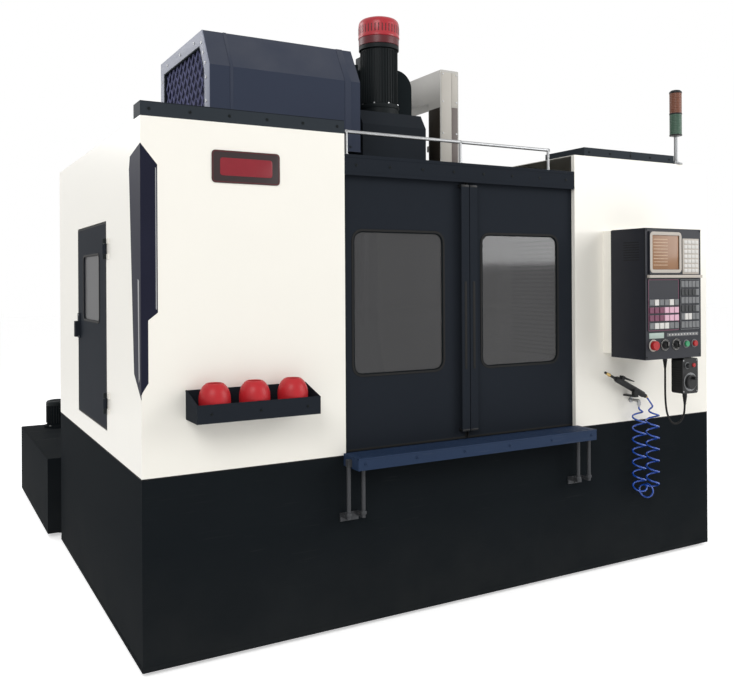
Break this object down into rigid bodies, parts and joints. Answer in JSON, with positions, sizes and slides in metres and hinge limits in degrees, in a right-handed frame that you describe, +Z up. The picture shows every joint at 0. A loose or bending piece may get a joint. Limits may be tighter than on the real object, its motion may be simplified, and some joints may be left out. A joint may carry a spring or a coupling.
{
  "type": "vertical machining centre",
  "caption": "Enclosed vertical milling machine with sliding front doors, an operator box, a side tool magazine with a swinging changer arm, and rear coolant and electrical units.",
  "frame": {"origin": "on the floor at the centre of the four corner anchor bolts", "axes": "+X to the operator's right, +Y from the front doors to the back, +Z up"},
  "size_m": [2.85, 3.168, 2.606],
  "materials": {
    "cream_paint": "semi-gloss cream enamel on sheet steel",
    "dark_paint": "satin near-black enamel on sheet steel",
    "slate_paint": "satin dark slate enamel on sheet steel",
    "shelf_blue": "satin dark blue enamel on sheet steel",
    "charcoal_paint": "satin charcoal enamel on sheet steel",
    "light_grey_paint": "semi-gloss light grey enamel on sheet steel",
    "casting_paint": "painted light grey casting",
    "dark_casting": "painted dark slate casting",
    "machined_iron": "ground cast iron",
    "ground_steel": "ground steel",
    "zinc_steel": "zinc plated steel",
    "motor_black": "satin black enamel",
    "fan_red": "gloss red enamel",
    "window_glass": "tinted laminated glass",
    "cup_plastic": "moulded red plastic",
    "panel_dark": "matte printed panel",
    "lamp_plastic": "coloured lenses on a metal pole",
    "tool_steel": "oiled tool steel",
    "pot_plastic": "moulded grey plastic",
    "hose_blue": "translucent blue polyurethane",
    "cable_black": "black rubber",
    "gun_black": "black plastic and metal",
    "pendant_dark": "black plastic",
    "stop_red": "red plastic",
    "start_green": "green plastic",
    "control_black": "black plastic"
  },
  "bodies": {
    "frame": {"base_casting": "casting_paint", "leveling_feet": "zinc_steel", "column": "casting_paint", "guide_rails": "ground_steel", "axis_motors": "motor_black", "skirt": "dark_paint", "left_cabinet": "cream_paint", "right_cabinet": "cream_paint", "door_header": "slate_paint", "rear_guard": "cream_paint", "roof_covers": "slate_paint", "roof_rail": "zinc_steel", "sill_shelf": "shelf_blue", "shelf_brackets": "zinc_steel", "tool_tray": "slate_paint", "tool_cups": "cup_plastic", "operator_housing": "charcoal_paint", "panel_face": "panel_dark", "signal_tower": "lamp_plastic", "magazine_cover": "slate_paint", "magazine_frame": "casting_paint", "cable_duct": "light_grey_paint", "coolant_tank": "dark_paint", "electrical_cabinet": "cream_paint", "air_hose": "hose_blue", "pendant_cable": "cable_black", "air_gun": "gun_black", "pendant_box": "pendant_dark"},
    "door_left": {"door_left": "slate_paint", "door_left_glass": "window_glass"},
    "door_right": {"door_right": "slate_paint", "door_right_glass": "window_glass"},
    "side_door": {"side_door": "dark_paint", "side_door_glass": "window_glass"},
    "saddle": {"saddle": "machined_iron"},
    "table": {"table": "machined_iron"},
    "head": {"head": "dark_casting", "spindle_motor": "motor_black", "fan_cap": "fan_red", "head_hood": "slate_paint"},
    "x_screw": {"x_screw": "ground_steel"},
    "y_screw": {"y_screw": "ground_steel"},
    "z_screw": {"z_screw": "ground_steel"},
    "spindle": {"spindle": "ground_steel"},
    "drum": {"magazine_drum": "tool_steel", "tool_pots": "pot_plastic", "loaded_tools": "tool_steel"},
    "change_pot": {"change_pot": "pot_plastic"},
    "arm_sleeve": {"arm_sleeve": "ground_steel"},
    "changer_arm": {"changer_arm": "ground_steel"},
    "e_stop": {"e_stop": "stop_red"},
    "start_button": {"start_button": "start_green"},
    "stop_button": {"stop_button": "control_black"},
    "feed_knob": {"feed_knob": "control_black"},
    "mode_knob": {"mode_knob": "control_black"},
    "handwheel": {"handwheel": "control_black"},
    "axis_knob": {"axis_knob": "control_black"},
    "gun_trigger": {"gun_trigger": "gun_black"},
    "cabinet_door": {"cabinet_door": "cream_paint"},
    "main_switch": {"main_switch": "control_black"}
  },
  "joints": [
    {"name": "door_left_slide", "type": "slide", "parent": "frame", "child": "door_left", "axis": [-1, 0, 0], "range_m": [0, 0.53]},
    {"name": "door_right_slide", "type": "slide", "parent": "frame", "child": "door_right", "axis": [1, 0, 0], "range_m": [0, 0.53]},
    {"name": "side_door_hinge", "type": "hinge", "parent": "frame", "child": "side_door", "pos_m": [-1.358, -0.396, 1.1535], "axis": [0, 0, 1], "range_deg": [0, 110]},
    {"name": "saddle_y", "type": "slide", "parent": "frame", "child": "saddle", "axis": [0, 1, 0], "range_m": [-0.25, 0.25]},
    {"name": "table_x", "type": "slide", "parent": "saddle", "child": "table", "axis": [1, 0, 0], "range_m": [-0.425, 0.425]},
    {"name": "head_z", "type": "slide", "parent": "frame", "child": "head", "axis": [0, 0, 1], "range_m": [-0.55, 0]},
    {"name": "x_screw_spin", "type": "hinge", "parent": "saddle", "child": "x_screw", "pos_m": [0, -0.195, 0.645], "axis": [1, 0, 0], "range_deg": [-9800, 9800]},
    {"name": "y_screw_spin", "type": "hinge", "parent": "frame", "child": "y_screw", "pos_m": [0, -0.195, 0.48], "axis": [0, 1, 0], "range_deg": [-5800, 5800]},
    {"name": "z_screw_spin", "type": "hinge", "parent": "frame", "child": "z_screw", "pos_m": [0, 0.36, 1.7], "axis": [0, 0, 1], "range_deg": [-12600, 200]},
    {"name": "spindle_spin", "type": "hinge", "parent": "head", "child": "spindle", "pos_m": [0, -0.195, 1.67], "axis": [0, 0, 1], "continuous": true},
    {"name": "drum_spin", "type": "hinge", "parent": "frame", "child": "drum", "pos_m": [-0.58, -0.195, 1.947], "axis": [1, 0, 0], "continuous": true},
    {"name": "pot_tilt", "type": "hinge", "parent": "drum", "child": "change_pot", "pos_m": [-0.6, -0.195, 1.662], "axis": [0, -1, 0], "range_deg": [0, 90]},
    {"name": "arm_lift", "type": "slide", "parent": "frame", "child": "arm_sleeve", "axis": [0, 0, -1], "range_m": [0, 0.12]},
    {"name": "arm_swing", "type": "hinge", "parent": "arm_sleeve", "child": "changer_arm", "pos_m": [-0.3, -0.195, 1.54], "axis": [0, 0, 1], "range_deg": [0, 270]},
    {"name": "e_stop_press", "type": "slide", "parent": "frame", "child": "e_stop", "axis": [0, 1, 0], "range_m": [0, 0.004], "stiffness_N_per_m": 2000},
    {"name": "start_press", "type": "slide", "parent": "frame", "child": "start_button", "axis": [0, 1, 0], "range_m": [0, 0.004], "stiffness_N_per_m": 1200},
    {"name": "stop_press", "type": "slide", "parent": "frame", "child": "stop_button", "axis": [0, 1, 0], "range_m": [0, 0.004], "stiffness_N_per_m": 1200},
    {"name": "feed_turn", "type": "hinge", "parent": "frame", "child": "feed_knob", "pos_m": [0.868, -1.185, 1.037], "axis": [0, -1, 0], "range_deg": [-135, 135]},
    {"name": "mode_turn", "type": "hinge", "parent": "frame", "child": "mode_knob", "pos_m": [0.938, -1.185, 1.037], "axis": [0, -1, 0], "range_deg": [-90, 90]},
    {"name": "handwheel_turn", "type": "hinge", "parent": "frame", "child": "handwheel", "pos_m": [1.035, -1.18, 0.864], "axis": [0, -1, 0], "continuous": true},
    {"name": "axis_knob_turn", "type": "hinge", "parent": "frame", "child": "axis_knob", "pos_m": [1.015, -1.18, 0.938], "axis": [0, -1, 0], "range_deg": [-60, 60]},
    {"name": "trigger_squeeze", "type": "hinge", "parent": "frame", "child": "gun_trigger", "pos_m": [0.81771, -0.985, 0.87843], "axis": [0, 1, 0], "range_deg": [0, 8], "stiffness_Nm_per_rad": 2},
    {"name": "cabinet_door_hinge", "type": "hinge", "parent": "frame", "child": "cabinet_door", "pos_m": [1.432, 1.077, 1.075], "axis": [0, 0, -1], "range_deg": [0, 110]},
    {"name": "main_switch_turn", "type": "hinge", "parent": "cabinet_door", "child": "main_switch", "pos_m": [0.516, 1.093, 1.49], "axis": [0, 1, 0], "range_deg": [0, 90]}
  ],
  "couplings": [
    {"joint": "x_screw_spin", "follows": "table_x", "rad_per_m": 392.7},
    {"joint": "y_screw_spin", "follows": "saddle_y", "rad_per_m": 392.7},
    {"joint": "z_screw_spin", "follows": "head_z", "rad_per_m": 392.7}
  ]
}
